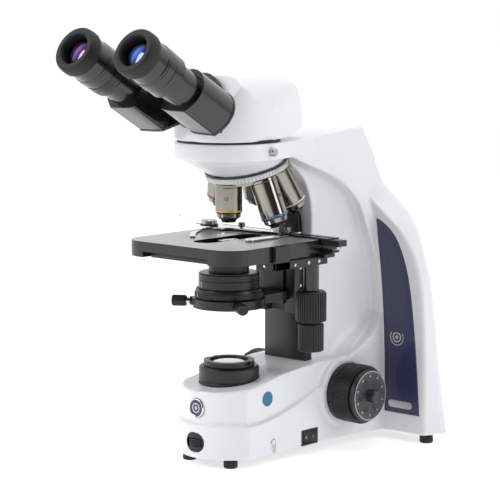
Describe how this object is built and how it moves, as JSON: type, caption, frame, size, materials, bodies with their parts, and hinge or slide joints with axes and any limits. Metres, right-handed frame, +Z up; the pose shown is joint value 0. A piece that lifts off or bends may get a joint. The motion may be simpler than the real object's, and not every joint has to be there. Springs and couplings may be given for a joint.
{
  "type": "upright binocular microscope",
  "caption": "Upright laboratory microscope: inclined binocular head, tilted revolving nosepiece, coaxial focus and stage drives, centring condenser and built-in field lamp.",
  "frame": {"origin": "middle of the bounding box on the table surface under the feet", "axes": "+Z up, -Y towards the user, +X to the user's right"},
  "size_m": [0.211, 0.3616, 0.3875],
  "materials": {
    "white_paint": "satin white paint",
    "black_metal": "black anodised, satin",
    "black_plastic": "matte black",
    "grip_plastic": "dark grey, ribbed",
    "rubber": "matte black rubber",
    "navy_panel": "satin navy",
    "optical_glass": "coated lens",
    "white_plastic": "white, gloss",
    "steel_shaft": "turned steel",
    "chrome_trim": "polished chrome",
    "nickel": "nickel-plated brass",
    "bright_aluminium": "turned aluminium",
    "tube_metal": "dark grey gloss paint"
  },
  "bodies": {
    "stand": {"stand_casting": "white_paint", "base_plate": "black_metal", "foot_front_left": "rubber", "foot_front_right": "rubber", "foot_rear_left": "rubber", "foot_rear_right": "rubber", "side_panel_right": "navy_panel", "side_panel_left": "navy_panel", "front_badge": "navy_panel", "collector_housing": "black_metal", "field_lens": "optical_glass", "brightness_bezel": "black_plastic", "power_switch_frame": "black_plastic", "mains_inlet": "black_plastic", "guide_rail": "black_metal"},
    "field_diaphragm": {"field_diaphragm_ring": "black_metal"},
    "brightness": {"brightness_wheel": "grip_plastic"},
    "power": {"power_rocker": "black_plastic"},
    "button": {"side_button": "white_plastic"},
    "coarse_drive": {"coarse_shaft": "steel_shaft", "coarse_knob_right": "grip_plastic", "coarse_knob_left": "grip_plastic"},
    "fine_drive": {"fine_knob_right": "grip_plastic", "fine_knob_left": "grip_plastic"},
    "stage_carrier": {"column_slide": "black_metal", "stage_bracket": "black_metal", "stage_support": "black_metal"},
    "stage_top": {"stage_plate": "black_metal", "x_guide_bar": "black_metal", "drive_bracket": "black_metal"},
    "y_drive": {"y_knob": "grip_plastic"},
    "x_drive": {"x_knob": "grip_plastic"},
    "specimen_holder": {"slide_holder": "chrome_trim"},
    "finger": {"holder_finger": "chrome_trim"},
    "condenser": {"condenser_carrier": "black_metal", "condenser_body": "black_metal", "condenser_lens": "optical_glass"},
    "aperture": {"aperture_ring": "black_metal"},
    "centring_left": {"centring_screw_left": "grip_plastic"},
    "centring_right": {"centring_screw_right": "grip_plastic"},
    "condenser_drive": {"condenser_knob": "grip_plastic"},
    "nosepiece": {"turret_disc": "nickel", "turret_grip_ring": "bright_aluminium", "objective_10x": "nickel", "objective_40x": "nickel", "objective_100x": "nickel", "objective_4x": "nickel", "objective_20x": "nickel"},
    "clamp": {"head_clamp_screw": "chrome_trim"},
    "head": {"head_casing": "white_paint"},
    "tube_right": {"prism_housing_right": "tube_metal", "eyepiece_right": "tube_metal", "eyecup_right": "rubber", "eye_lens_right": "optical_glass"},
    "tube_left": {"prism_housing_left": "tube_metal", "eyepiece_left": "tube_metal", "eyecup_left": "rubber", "eye_lens_left": "optical_glass"},
    "dioptre": {"dioptre_ring": "tube_metal"}
  },
  "joints": [
    {"name": "field_diaphragm_turn", "type": "hinge", "parent": "stand", "child": "field_diaphragm", "pos_m": [0, -0.0191, 0.0886], "axis": [0, 0, 1], "range_deg": [-60, 60]},
    {"name": "brightness_turn", "type": "hinge", "parent": "stand", "child": "brightness", "pos_m": [0, -0.0546, 0.0225], "axis": [0, 0, 1], "range_deg": [-135, 135]},
    {"name": "power_rock", "type": "hinge", "parent": "stand", "child": "power", "pos_m": [0.035, 0.0444, 0.0154], "axis": [0, 0, 1], "range_deg": [0, 14]},
    {"name": "button_press", "type": "slide", "parent": "stand", "child": "button", "axis": [-1, 0, 0], "range_m": [0, 0.0012], "stiffness_N_per_m": 250, "springref_m": -0.002},
    {"name": "focus_travel", "type": "slide", "parent": "stand", "child": "stage_carrier", "axis": [0, 0, 1], "range_m": [-0.022, 0.001]},
    {"name": "coarse_turn", "type": "hinge", "parent": "stand", "child": "coarse_drive", "pos_m": [0, 0.0909, 0.051], "axis": [1, 0, 0], "range_deg": [-12, 212]},
    {"name": "fine_turn", "type": "hinge", "parent": "stand", "child": "fine_drive", "pos_m": [0, 0.0909, 0.051], "axis": [1, 0, 0], "continuous": true},
    {"name": "stage_y_travel", "type": "slide", "parent": "stage_carrier", "child": "stage_top", "axis": [0, 1, 0], "range_m": [-0.022, 0.011]},
    {"name": "y_knob_turn", "type": "hinge", "parent": "stage_top", "child": "y_drive", "pos_m": [0.0595, 0.0239, 0.14], "axis": [0, 0, 1], "range_deg": [-200, 100]},
    {"name": "stage_x_travel", "type": "slide", "parent": "stage_top", "child": "specimen_holder", "axis": [1, 0, 0], "range_m": [-0.025, 0.025]},
    {"name": "x_knob_turn", "type": "hinge", "parent": "stage_top", "child": "x_drive", "pos_m": [0.0595, 0.0239, 0.112], "axis": [0, 0, 1], "range_deg": [-225, 225]},
    {"name": "finger_swing", "type": "hinge", "parent": "specimen_holder", "child": "finger", "pos_m": [-0.06, 0.0189, 0.202], "axis": [0, 0, 1], "range_deg": [-25, 0], "stiffness_Nm_per_rad": 0.03, "springref_deg": 11.46},
    {"name": "condenser_travel", "type": "slide", "parent": "stage_carrier", "child": "condenser", "axis": [0, 0, 1], "range_m": [-0.02, 0]},
    {"name": "condenser_knob_turn", "type": "hinge", "parent": "stage_carrier", "child": "condenser_drive", "pos_m": [-0.035, 0.0479, 0.148], "axis": [1, 0, 0], "range_deg": [-20, 230]},
    {"name": "aperture_turn", "type": "hinge", "parent": "condenser", "child": "aperture", "pos_m": [0, -0.0191, 0.152], "axis": [0, 0, 1], "range_deg": [-50, 50]},
    {"name": "centring_left_turn", "type": "hinge", "parent": "condenser", "child": "centring_left", "pos_m": [0, -0.0191, 0.143], "axis": [-0.8387, -0.5446, 0], "range_deg": [-180, 180]},
    {"name": "centring_right_turn", "type": "hinge", "parent": "condenser", "child": "centring_right", "pos_m": [0, -0.0191, 0.143], "axis": [0.8387, -0.5446, 0], "range_deg": [-180, 180]},
    {"name": "nosepiece_turn", "type": "hinge", "parent": "stand", "child": "nosepiece", "pos_m": [0, 0.00595, 0.25495], "axis": [0, -0.2672, 0.9636], "continuous": true},
    {"name": "clamp_turn", "type": "hinge", "parent": "stand", "child": "clamp", "pos_m": [0.045, -0.0161, 0.279], "axis": [1, 0, 0], "range_deg": [-180, 180]},
    {"name": "head_turn", "type": "hinge", "parent": "stand", "child": "head", "pos_m": [0, -0.0191, 0.288], "axis": [0, 0, 1], "continuous": true},
    {"name": "tube_right_swing", "type": "hinge", "parent": "head", "child": "tube_right", "pos_m": [0, -0.0561, 0.3218], "axis": [0, -0.866, 0.5], "range_deg": [-18, 22]},
    {"name": "tube_left_swing", "type": "hinge", "parent": "head", "child": "tube_left", "pos_m": [0, -0.0561, 0.3218], "axis": [0, -0.866, 0.5], "range_deg": [-22, 18]},
    {"name": "dioptre_turn", "type": "hinge", "parent": "tube_left", "child": "dioptre", "pos_m": [-0.035, -0.1716, 0.371], "axis": [0, -0.866, 0.5], "range_deg": [-60, 60]}
  ],
  "couplings": [
    {"joint": "coarse_turn", "follows": "focus_travel", "rad_per_m": -166},
    {"joint": "y_knob_turn", "follows": "stage_y_travel", "rad_per_m": 153.8},
    {"joint": "x_knob_turn", "follows": "stage_x_travel", "rad_per_m": 153.8},
    {"joint": "condenser_knob_turn", "follows": "condenser_travel", "rad_per_m": -166},
    {"joint": "tube_left_swing", "follows": "tube_right_swing", "ratio": -1}
  ]
}
